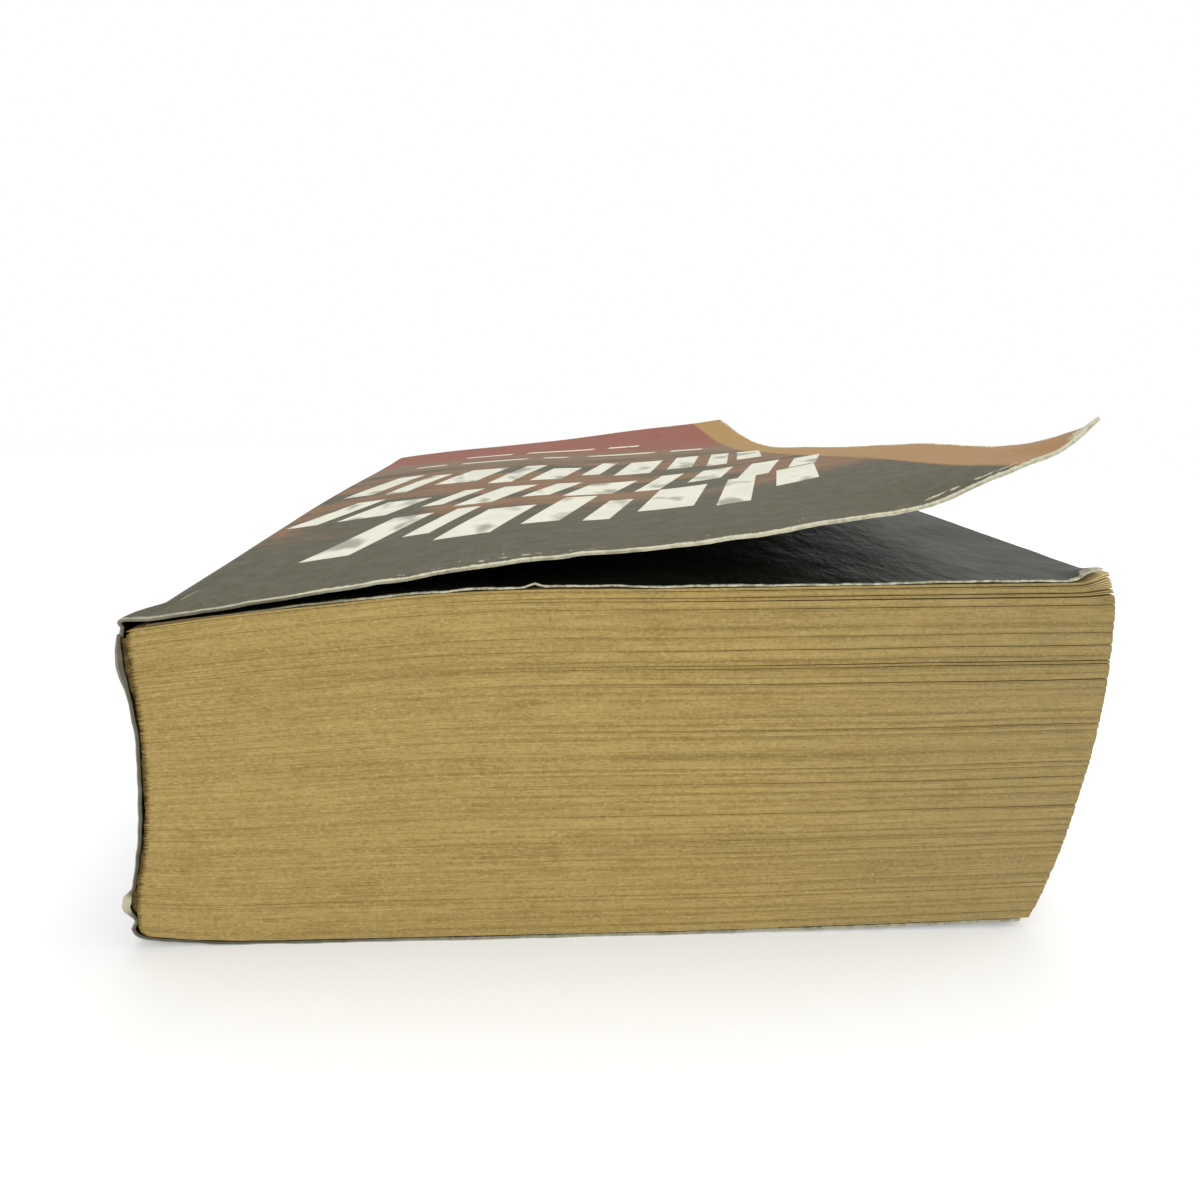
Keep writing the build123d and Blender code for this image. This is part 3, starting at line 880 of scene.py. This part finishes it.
def stacked_leaves(name, tree, material, sizes, first, last, steps_across, steps_along):
    """Plain mesh of some of the leaves, made by the tree."""
    maker = link(name + "_maker", bpy.data.meshes.new(name + "_maker"))
    modifier = maker.modifiers.new("leaves", "NODES")
    modifier.node_group = tree
    values = {
        "Leaves": sizes.leaf_count,
        "First leaf": first,
        "Last leaf": last,
        "Steps across": steps_across,
        "Steps along": steps_along,
        "Paper": sizes.paper,
        "Looseness": sizes.looseness,
        "Gatherings": sizes.gatherings,
        "Corner curl": sizes.corner_curl,
        "Seed": sizes.seed,
        "Material": material,
    }
    for item in tree.interface.items_tree:
        if item.in_out == "INPUT":
            modifier[item.identifier] = values[item.name]
    maker.update_tag()
    evaluated = maker.evaluated_get(bpy.context.evaluated_depsgraph_get())
    mesh = bpy.data.meshes.new_from_object(evaluated)
    if not mesh.polygons:
        raise RuntimeError(f"{name}: the tree made no leaves")
    mesh.name = name
    bpy.data.objects.remove(maker)
    return link(name, mesh)


# ---------------------------------------------------------------------------------------------------------------
# The card: spine, folds and covers share their rows along Y, so that their edges meet
# ---------------------------------------------------------------------------------------------------------------

CARD_ROWS = 150


def card_rows():
    """Places along Y, crowded towards the tail and a little towards the head."""
    return steps(tail_y, head_y, CARD_ROWS, crowd_start=0.93, crowd_end=0.5)


def tailness(y, reach):
    """1 at the tail, falling smoothly to 0 at reach from it."""
    return 1 - ease((y - tail_y) / reach)


def spine_card_x(z, y):
    """Middle of the spine card at a height, with its wear: a bulge, a notch and a frayed nub at the tail."""
    low, high = spine_foot - 0.05 * MM, FRONT_FOLD_LOW + 1.3 * MM
    share = np.clip((z - low) / (high - low), 0, 1)
    x = spine_x + through(SPINE_LEAN, share) * MM - SPINE_CARD_OUT
    height = (z - spine_foot) / MM
    bulge = swell(height, -0.55, 33.2, 3.4) * tailness(y, 9 * MM)
    nub = swell(height, -0.7, 4.3, 1.4, power=4) * tailness(y, 2.2 * MM)
    notch = swell(height, 0.5, 2.0, 0.6) * tailness(y, 1.5 * MM)
    ripples = 0.12 * uneven(z, y, 3 * MM, 30 * MM, 21) + 0.06 * uneven(z, y, 1.1 * MM, 9 * MM, 22)
    return x + (bulge + nub + notch + ripples) * MM


def ragged_tail(s, seed, depth):
    """How far an edge is worn back at each place along it."""
    coarse = uneven(s, 0 * s, 2.6 * MM, 1, seed)
    fine = uneven(s, 0 * s, 0.7 * MM, 1, seed + 1)
    return depth * (0.5 + 0.32 * coarse + 0.25 * fine)


def free_edge(y, x=None, end=None):
    """Distance from the tail or the head, or from a free edge at the end if one is given."""
    nearest = np.minimum(y - tail_y, head_y - y)
    return nearest if x is None else np.minimum(nearest, np.abs(end - x))


def cover_wave(x, y):
    """Long, shallow waves in the front cover, which the foil on it follows."""
    out = ease((x - front_hinge.x - FRONT_FOLD_REACH) / (6 * MM))
    return out * 0.10 * MM * uneven(x, y, 16 * MM, 22 * MM, 31)


def fold_and_panel(rows, x_fold, z_fold, x_panel, z_panel):
    """One grid of points: a fold's, then its panel's."""
    x = np.concatenate([x_fold, x_panel])
    return np.stack([x, np.broadcast_to(rows[None], x.shape), np.concatenate([z_fold, z_panel])], axis=-1)


def front_card_middle(sizes):
    """Middle of the front card: up the fold from the spine, then over the pages to the free edge."""
    rows = card_rows()
    fold_steps, panel_steps = 12, 230
    start_x = front_hinge.x + FRONT_FOLD_REACH
    panel_x = steps(start_x, cover_end_x, panel_steps, crowd_start=0.6, crowd_end=0.75)
    x_panel, y_panel = np.meshgrid(panel_x, rows, indexing="ij")
    z_panel = cover_height(x_panel, y_panel)
    top = z_panel[0]
    turn = np.linspace(0, math.pi / 2, fold_steps, endpoint=False)[:, None]
    squareness = 1.35 + 5.0 * tailness(rows, 9 * MM)[None] ** 1.5
    side_x = spine_card_x(np.full_like(rows, FRONT_FOLD_LOW), rows)[None]
    x_fold = start_x - (start_x - side_x) * np.cos(turn) ** (2 / squareness)
    z_fold = FRONT_FOLD_LOW + (top[None] - FRONT_FOLD_LOW) * np.sin(turn) ** (2 / squareness)
    # The near corner is pinched in just above the start of the fold
    pinch = swell(z_fold - FRONT_FOLD_LOW, 1.0, 0.6 * MM, 0.55 * MM)
    x_fold += 0.7 * MM * tailness(rows, 8 * MM)[None] * pinch * tailness(rows, 2 * MM)
    middle = fold_and_panel(rows, x_fold, z_fold, x_panel, z_panel)
    x, y = middle[..., 0], middle[..., 1]
    edge = np.minimum(free_edge(y, x, cover_end_x), 0.4 * (np.hypot(cover_end_x - x, y - tail_y) - 2 * MM))
    out = ease((x - start_x) / (6 * MM))
    middle[..., 2] += cover_wave(x, y)
    middle[..., 2] += out * 0.07 * MM * uneven(x, y, 5 * MM, 9 * MM, 32) * tailness(y, 25 * MM)
    middle[..., 2] += out * 0.12 * MM * uneven(x, y, 3.1 * MM, 4 * MM, 33) * tailness(y, 4 * MM)
    # A crease runs from the near corner of the fold up to the hinge line
    crease = x - (front_hinge.x + CREASE_START + CREASE_SLOPE * (y - tail_y))
    deep = tailness(y, 22 * MM) * ease((y - tail_y) / (3 * MM))
    middle[..., 2] -= swell(crease, 0.22 * MM, 0.0, 0.45 * MM) * deep
    # The free corner at the tail is worn round and its tip curls further
    from_edge = (cover_end_x - x) / MM
    from_tail = (y - tail_y) / MM
    tip = np.exp(-((from_edge / 2.2) ** 2) - (from_tail / 2.0) ** 2)
    middle[..., 2] += 0.35 * MM * tip
    wear = ragged_tail(x, 41, 0.4 * MM)
    corner_wear = 0.5 * MM * np.exp(-from_edge / 0.8)
    middle[..., 1] += (wear + corner_wear) * tailness(y, 3 * MM)
    middle[..., 0] -= (0.3 * MM * np.exp(-from_tail / 0.7) + ragged_tail(y, 43, 0.12 * MM)) * ease(1 - from_edge / 3)
    swollen = np.exp(-np.maximum(edge, 0) / (0.7 * MM)) * (0.55 + 0.45 * uneven(x, y, 2.3 * MM, 2.3 * MM, 45))
    from_spine = (x - start_x) / MM
    swelling = (0.06 + 0.1 * ease((from_spine - 60) / 30)) * MM * swollen * ease(from_spine / 2)
    return middle, edge, sizes.card + swelling


def back_card_middle(sizes):
    """Middle of the back card: from the free edge under the pages, then up the fold to the spine."""
    rows = card_rows()
    fold_steps, panel_steps = 10, 80
    start_x = spine_x + BACK_FOLD_REACH
    panel_x = steps(start_x, back_high[0], panel_steps)
    x_panel = np.meshgrid(panel_x, rows, indexing="ij")[0]
    share = (x_panel - spine_x) / (back_high[0] - spine_x)
    z_panel = sizes.card / 2 + np.maximum(through(UNDERSIDE, share), 0) * MM
    bottom = z_panel[0]
    turn = np.linspace(0, math.pi / 2, fold_steps, endpoint=False)[:, None]
    side_x = spine_card_x(np.full_like(rows, BACK_FOLD_HIGH), rows)[None]
    x_fold = start_x - (start_x - side_x) * np.cos(turn)
    z_fold = BACK_FOLD_HIGH + (bottom[None] - BACK_FOLD_HIGH) * np.sin(turn)
    middle = fold_and_panel(rows, x_fold, z_fold, x_panel, z_panel)
    x, y = middle[..., 0], middle[..., 1]
    edge = free_edge(y, x, back_high[0])
    middle[..., 1] += ragged_tail(x, 51, 0.25 * MM) * tailness(y, 3 * MM)
    from_edge, from_tail, from_head = (back_high[0] - x) / MM, (y - tail_y) / MM, (head_y - y) / MM
    rounding = 1.1 * MM * (np.exp(-from_tail / 1.2) + np.exp(-from_head / 1.2)) * ease(1 - from_edge / 4)
    middle[..., 0] -= rounding
    return middle[::-1], edge[::-1]


def spine_card_middle(sizes):
    """Middle of the spine card, from the front fold down to the back fold."""
    rows = card_rows()
    heights = np.linspace(BACK_FOLD_HIGH - FOLD_LAP, FRONT_FOLD_LOW + FOLD_LAP, 70)
    z, y = np.meshgrid(heights, rows, indexing="ij")
    x = spine_card_x(z, y)
    middle = np.stack([x, y, z], axis=-1)
    middle[..., 1] += ragged_tail(z, 61, 0.3 * MM) * tailness(y, 3 * MM)
    # The frayed nub at the foot has split into its layers
    height = (z - spine_foot) / MM
    split = swell(height, 1.0, 4.2, 1.1, power=4) * tailness(y, 2.5 * MM)
    split *= 0.8 + 0.3 * uneven(z, y, 0.5 * MM, 0.6 * MM, 62)
    thick_top = swell(height, 0.35 * MM, 32.6, 2.3, power=4) * tailness(y, 6 * MM)
    return middle, free_edge(y), sizes.card + 0.75 * MM * split + thick_top, split


# Foil on the front cover: plain parallel bars in three rows, and two broken rules above them. A row has its foot, its
# height and its climb to the right; a bar its start, its width and where it begins and ends within the row. Feet,
# heights and rules' levels are shares of the cover's height, starts and widths shares of its width
FOIL_ROWS = (
    (0.095, 0.145, 0.05, (
        (0.13, 0.06, 0.0, 1.0), (0.225, 0.035, 0.25, 1.0), (0.29, 0.07, 0.0, 0.8), (0.39, 0.05, 0.1, 1.0),
        (0.475, 0.035, 0.0, 0.7), (0.54, 0.075, 0.15, 1.0), (0.65, 0.045, 0.0, 1.0), (0.73, 0.06, 0.3, 1.0),
    )),
    (0.272, 0.11, 0.0, (
        (0.03, 0.05, 0.0, 1.0), (0.11, 0.075, 0.0, 0.75), (0.22, 0.035, 0.2, 1.0), (0.29, 0.06, 0.0, 1.0),
        (0.385, 0.045, 0.15, 1.0), (0.46, 0.08, 0.0, 0.8), (0.575, 0.04, 0.0, 1.0), (0.65, 0.055, 0.25, 1.0),
        (0.74, 0.05, 0.0, 1.0), (0.82, 0.045, 0.1, 0.85),
    )),
    (0.42, 0.17, 0.02, (
        (0.05, 0.055, 0.1, 1.0), (0.14, 0.04, 0.0, 0.85), (0.21, 0.08, 0.2, 1.0), (0.33, 0.045, 0.0, 1.0),
        (0.41, 0.06, 0.0, 0.7), (0.5, 0.035, 0.15, 1.0), (0.57, 0.07, 0.0, 0.9), (0.67, 0.05, 0.1, 1.0),
        (0.75, 0.04, 0.0, 1.0), (0.81, 0.05, 0.2, 1.0),
    )),
)
FOIL_LEAN = 0.075
FOIL_RULES = (
    (0.715, ((0.13, 0.2), (0.24, 0.4), (0.44, 0.5), (0.55, 0.72), (0.76, 0.84))),
    (0.81, ((0.24, 0.36), (0.4, 0.58), (0.62, 0.7))),
)
FOIL_RULE_HEIGHT = 0.012
FOIL_HALF_THICKNESS = 0.03 * MM
FOIL_RULE_LEAN = 0.01


def foil_bar(sizes, corners, across, along):
    """Upper and lower grids of one foil bar between four corners on the cover, given in shares."""
    s, t = np.meshgrid(np.linspace(0, 1, across), np.linspace(0, 1, along), indexing="ij")
    corner = np.array(corners, float)
    shares = (
        corner[0] * ((1 - s) * (1 - t))[..., None]
        + corner[1] * (s * (1 - t))[..., None]
        + corner[2] * (s * t)[..., None]
        + corner[3] * ((1 - s) * t)[..., None]
    )
    x = front_hinge.x + shares[..., 0] * (cover_end_x - front_hinge.x)
    y = tail_y + shares[..., 1] * book_height
    z = cover_height(x, y) + sizes.card / 2 + cover_wave(x, y)
    middle = np.stack([x, y, z], axis=-1)
    half = np.array((0, 0, FOIL_HALF_THICKNESS))
    return middle + half, middle - half


# ---------------------------------------------------------------------------------------------------------------
# Operators
# ---------------------------------------------------------------------------------------------------------------


class BOOK_OT_leaves(bpy.types.Operator):
    """Stack the pages, leaf by leaf"""

    bl_idname = "book.leaves"
    bl_label = "Leaves"

    def execute(self, context):
        """Makes the stack in two pieces: the many leaves below, and the few at the top whose corners curl."""
        sizes, colours = context.scene.book_sizes, context.scene.book_colours
        tree = leaf_tree()
        material = paper_material(colours)
        first_fine = sizes.leaf_count - sizes.fine_leaves
        lower = stacked_leaves("lower_leaves", tree, material, sizes, 0, first_fine - 1, 22, 6)
        upper = stacked_leaves("upper_leaves", tree, material, sizes, first_fine, sizes.leaf_count - 1, 90, 26)
        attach(lower, "block")
        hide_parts("text_block")
        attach(upper, "block")
        return {"FINISHED"}


class BOOK_OT_inner_leaf(bpy.types.Operator):
    """Lay the glossy inner leaf over the pages"""

    bl_idname = "book.inner_leaf"
    bl_label = "Inner leaf"

    def execute(self, context):
        """Makes a wrinkled sheet with a torn tail edge and one curled corner."""
        sizes, colours = context.scene.book_sizes, context.scene.book_colours
        xs = steps(spine_top_x + 1.5 * MM, fore_edge_top_x - 0.2 * MM, 250, crowd_end=0.6)
        x, y = np.meshgrid(xs, steps(tail_y, head_y, 110, crowd_start=0.93), indexing="ij")
        corner = np.hypot(xs[-1] - x, y - tail_y)
        edge = np.minimum(free_edge(y), 0.5 * (corner - 2.2 * MM))
        z = top_height(x) - 0.04 * MM
        off_spine = ease((x - spine_top_x) / (12 * MM))
        z = z + off_spine * 0.1 * MM * uneven(x, y, 9 * MM, 14 * MM, 71)
        z = z + off_spine * 0.06 * MM * uneven(x, y, 3 * MM, 4 * MM, 72) * tailness(y, 30 * MM)
        from_edge, from_tail = (xs[-1] - x) / MM, (y - tail_y) / MM
        curl = ease(1 - from_edge / 5.5) * ease(1 - from_tail / 7)
        z = z + sizes.corner_curl * curl
        torn = ragged_tail(x, 73, 0.3 * MM)
        nick = swell(x - spine_x, 1.0, NICK_FROM_SPINE, 0.7 * MM)
        y = y + (torn - 0.5 * MM * nick) * tailness(y, 2 * MM)
        z = z + 0.5 * MM * nick * tailness(y, 1.2 * MM)
        x = x - 1.2 * MM * curl - ragged_tail(y, 75, 0.2 * MM) * ease(1 - from_edge / 3)
        middle = np.stack([x, y, z], axis=-1)
        half = np.array((0, 0, INNER_LEAF_HALF_THICKNESS))
        material = gloss_leaf_material(colours)
        leaf = sheet("inner_leaf_sheet", middle + half, middle - half, material, edge, 0.03 * MM, 5)
        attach(leaf, "block")
        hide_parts("inner_leaf")
        return {"FINISHED"}


class BOOK_OT_glue(bpy.types.Operator):
    """Spread the binding glue down the spine"""

    bl_idname = "book.glue"
    bl_label = "Binding glue"

    def execute(self, context):
        """Makes a lumpy layer, worn back a little at the tail."""
        sizes, colours = context.scene.book_sizes, context.scene.book_colours
        rows = steps(tail_y + 0.25 * MM, head_y - 0.1 * MM, 120, crowd_start=0.9)
        lowest = (BACK_FOLD_HIGH + FOLD_CLEAR - spine_foot) / stack_height
        highest = (FRONT_FOLD_LOW - FOLD_CLEAR - spine_foot) / stack_height
        levels = np.linspace(lowest, highest, 110)
        t, y = np.meshgrid(levels, rows, indexing="ij")
        lean = spine_x + through(SPINE_LEAN, t) * MM
        z = spine_foot + t * stack_height
        lumps = 0.1 * MM * uneven(z, y, 0.8 * MM, 1.5 * MM, 81)
        y = y + ragged_tail(z, 82, 0.6 * MM) * tailness(y, 4 * MM)
        inner = np.stack([lean - 0.04 * MM + lumps, y, z], axis=-1)
        card_inside = np.minimum(spine_card_x(z, rows[None]) + sizes.card / 2 + 0.04 * MM, lean - 0.5 * MM)
        outer = np.stack([card_inside, y, z], axis=-1)
        glue = sheet("glue_layer", outer, inner, glue_material(colours), round_out=0.05 * MM, seed=6)
        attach(glue, "block")
        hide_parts("spine_glue")
        return {"FINISHED"}


class BOOK_OT_cover(bpy.types.Operator):
    """Wrap the card cover round the spine"""

    bl_idname = "book.cover"
    bl_label = "Cover card"

    def execute(self, context):
        """Makes the front cover, the spine and the back cover, which bend at the two folds."""
        sizes, colours = context.scene.book_sizes, context.scene.book_colours
        middle, edge, thickness = front_card_middle(sizes)
        upper, lower = card_faces(middle, thickness)
        material = card_material("front cover card", colours, FRONT_WEAR)
        front = sheet("front_cover_card", upper, lower, material, edge, 0.12 * MM, 8)
        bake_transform(front)
        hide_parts("front_cover")

        middle, edge, thickness, split = spine_card_middle(sizes)
        upper, lower = card_faces(middle, thickness)
        material = card_material("spine card", colours, SPINE_WEAR)
        spine = sheet("spine_card", upper, lower, material, edge, 0.12 * MM, 9, split)
        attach(spine, "block")
        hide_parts("spine_cover")

        middle, edge = back_card_middle(sizes)
        upper, lower = card_faces(middle, sizes.card)
        material = card_material("back cover card", colours, BACK_WEAR, printed=False)
        back = sheet("back_cover_card", upper, lower, material, edge, 0.1 * MM, 10)
        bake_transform(back)
        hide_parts("back_cover")
        return {"FINISHED"}


class BOOK_OT_foil(bpy.types.Operator):
    """Press the foil bars into the front cover"""

    bl_idname = "book.foil"
    bl_label = "Foil bars"

    def execute(self, context):
        """Makes three rows of slanted bars and two rules, each a thin raised sheet."""
        sizes, colours = context.scene.book_sizes, context.scene.book_colours
        material = foil_material(colours)
        outlines = []
        for foot, height, climb, bars in FOIL_ROWS:
            for start, width, begins, ends in bars:
                low, high = (foot + climb * start + height * part for part in (begins, ends))
                left, right = start + FOIL_LEAN * begins, start + FOIL_LEAN * ends
                outlines.append(((left, low), (left + width, low), (right + width, high), (right, high)))
        for level, dashes in FOIL_RULES:
            high = level + FOIL_RULE_HEIGHT
            for start, end in dashes:
                top_start, top_end = start + FOIL_RULE_LEAN, end + FOIL_RULE_LEAN
                outlines.append(((start, level), (end, level), (top_end, high), (top_start, high)))
        for number, corners in enumerate(outlines, 1):
            upper, lower = foil_bar(sizes, corners, 10, 14)
            bar = sheet(f"foil_bar_{number:02d}", upper, lower, material)
            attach(bar, "front")
        return {"FINISHED"}


class BOOK_OT_stage(bpy.types.Operator):
    """Set the floor, the lights and the camera"""

    bl_idname = "book.stage"
    bl_label = "Stage"

    def execute(self, context):
        """Makes a pale floor that fades into a white room, soft lights and a low camera at the tail."""
        scene = context.scene
        material, nodes, shader = new_material("pale floor")
        shader.inputs["Base Color"].default_value = (0.9, 0.91, 0.94, 1)
        shader.inputs["Roughness"].default_value = 0.9
        shader.inputs["Specular IOR Level"].default_value = 0.0
        shader.inputs["Emission Color"].default_value = (1, 1, 1, 1)
        shader.inputs["Emission Strength"].default_value = 0.2
        place = nodes.add("ShaderNodeTexCoord").outputs["Object"]
        away = nodes.add("ShaderNodeVectorMath", {0: place}, operation="LENGTH").outputs["Value"]
        nodes.feed(shader.inputs["Alpha"], nodes.between(away, 0.25, 0.75, 1.0, 0.0))
        mesh = bpy.data.meshes.new("floor")
        reach = 0.8
        corners = [(-reach, -reach, 0), (reach, -reach, 0), (reach, reach, 0), (-reach, reach, 0)]
        mesh.from_pydata(corners, [], [(0, 1, 2, 3)])
        mesh.materials.append(material)
        link("floor", mesh)

        # The room looks white, and lights the book more gently than it looks
        world = bpy.data.worlds.new("soft room")
        world.use_nodes = True
        room = Nodes(world.node_tree)
        background = world.node_tree.nodes["Background"]
        seen = room.add("ShaderNodeLightPath").outputs["Is Camera Ray"]
        room.feed(background.inputs["Color"], room.mix(seen, (1.0, 1.0, 0.94), (1, 1, 1)))
        room.feed(background.inputs["Strength"], room.between(seen, 0.0, 1.0, 0.5, 1.0, smooth=False))
        scene.world = world

        for name, size, energy, place in (
            ("front_softbox", 0.7, 4.2, (-0.25, -0.9, 0.45)),
            ("top_softbox", 0.9, 5.6, (0.1, 0.25, 1.1)),
            ("right_softbox", 0.6, 2.0, (0.9, 0.1, 0.5)),
        ):
            lamp = bpy.data.lights.new(name, "AREA")
            lamp.size = size
            lamp.energy = energy
            holder = bpy.data.objects.new(name, lamp)
            holder.location = place
            aim = Vector((0, 0, 0.02)) - Vector(place)
            holder.rotation_euler = aim.to_track_quat("-Z", "Y").to_euler()
            scene.collection.objects.link(holder)

        lens = bpy.data.cameras.new("camera")
        lens.sensor_width = 36.0
        lens.lens = 26.0
        lens.clip_start = 0.01
        camera = bpy.data.objects.new("camera", lens)
        yaw, pitch, roll = math.radians(-4.989), math.radians(14.641), math.radians(1.811)
        forward = Vector((-math.sin(yaw) * math.cos(pitch), math.cos(yaw) * math.cos(pitch), -math.sin(pitch)))
        level = Vector((math.cos(yaw), math.sin(yaw), 0))
        upward = level.cross(forward)
        right = level * math.cos(roll) + upward * math.sin(roll)
        up = upward * math.cos(roll) - level * math.sin(roll)
        stand = Matrix.Translation((-0.01007, -0.18503, 0.06533))
        camera.matrix_world = stand @ Matrix((right, up, -forward)).transposed().to_4x4()
        scene.collection.objects.link(camera)
        scene.camera = camera
        scene.view_settings.view_transform = "Standard"
        return {"FINISHED"}


class BOOK_PT_panel(bpy.types.Panel):
    """The book's settings and the buttons that build it"""

    bl_idname = "BOOK_PT_panel"
    bl_label = "Worn Paperback"
    bl_space_type = "VIEW_3D"
    bl_region_type = "UI"
    bl_category = "Paperback"

    def draw(self, context):
        """Lists the settings, then one button for each operator."""
        for group in (context.scene.book_sizes, context.scene.book_colours):
            column = self.layout.column()
            for name in group.bl_rna.properties.keys():
                if name not in {"rna_type", "name"}:
                    column.prop(group, name)
        for operator in OPERATORS:
            self.layout.operator(operator.bl_idname)


OPERATORS = (BOOK_OT_leaves, BOOK_OT_inner_leaf, BOOK_OT_glue, BOOK_OT_cover, BOOK_OT_foil, BOOK_OT_stage)
CLASSES = (BookSizes, BookColours) + OPERATORS + (BOOK_PT_panel,)


def register():
    """Registers the classes and hangs the settings on the scene."""
    for item in CLASSES:
        bpy.utils.register_class(item)
    bpy.types.Scene.book_sizes = bpy.props.PointerProperty(type=BookSizes)
    bpy.types.Scene.book_colours = bpy.props.PointerProperty(type=BookColours)


def unregister():
    """Takes everything back."""
    del bpy.types.Scene.book_colours
    del bpy.types.Scene.book_sizes
    for item in reversed(CLASSES):
        bpy.utils.unregister_class(item)


def main():
    """Builds the book."""
    register()
    bpy.ops.book.leaves()
    bpy.ops.book.inner_leaf()
    bpy.ops.book.glue()
    bpy.ops.book.cover()
    bpy.ops.book.foil()
    bpy.ops.book.stage()


if __name__ == "__main__":
    main()
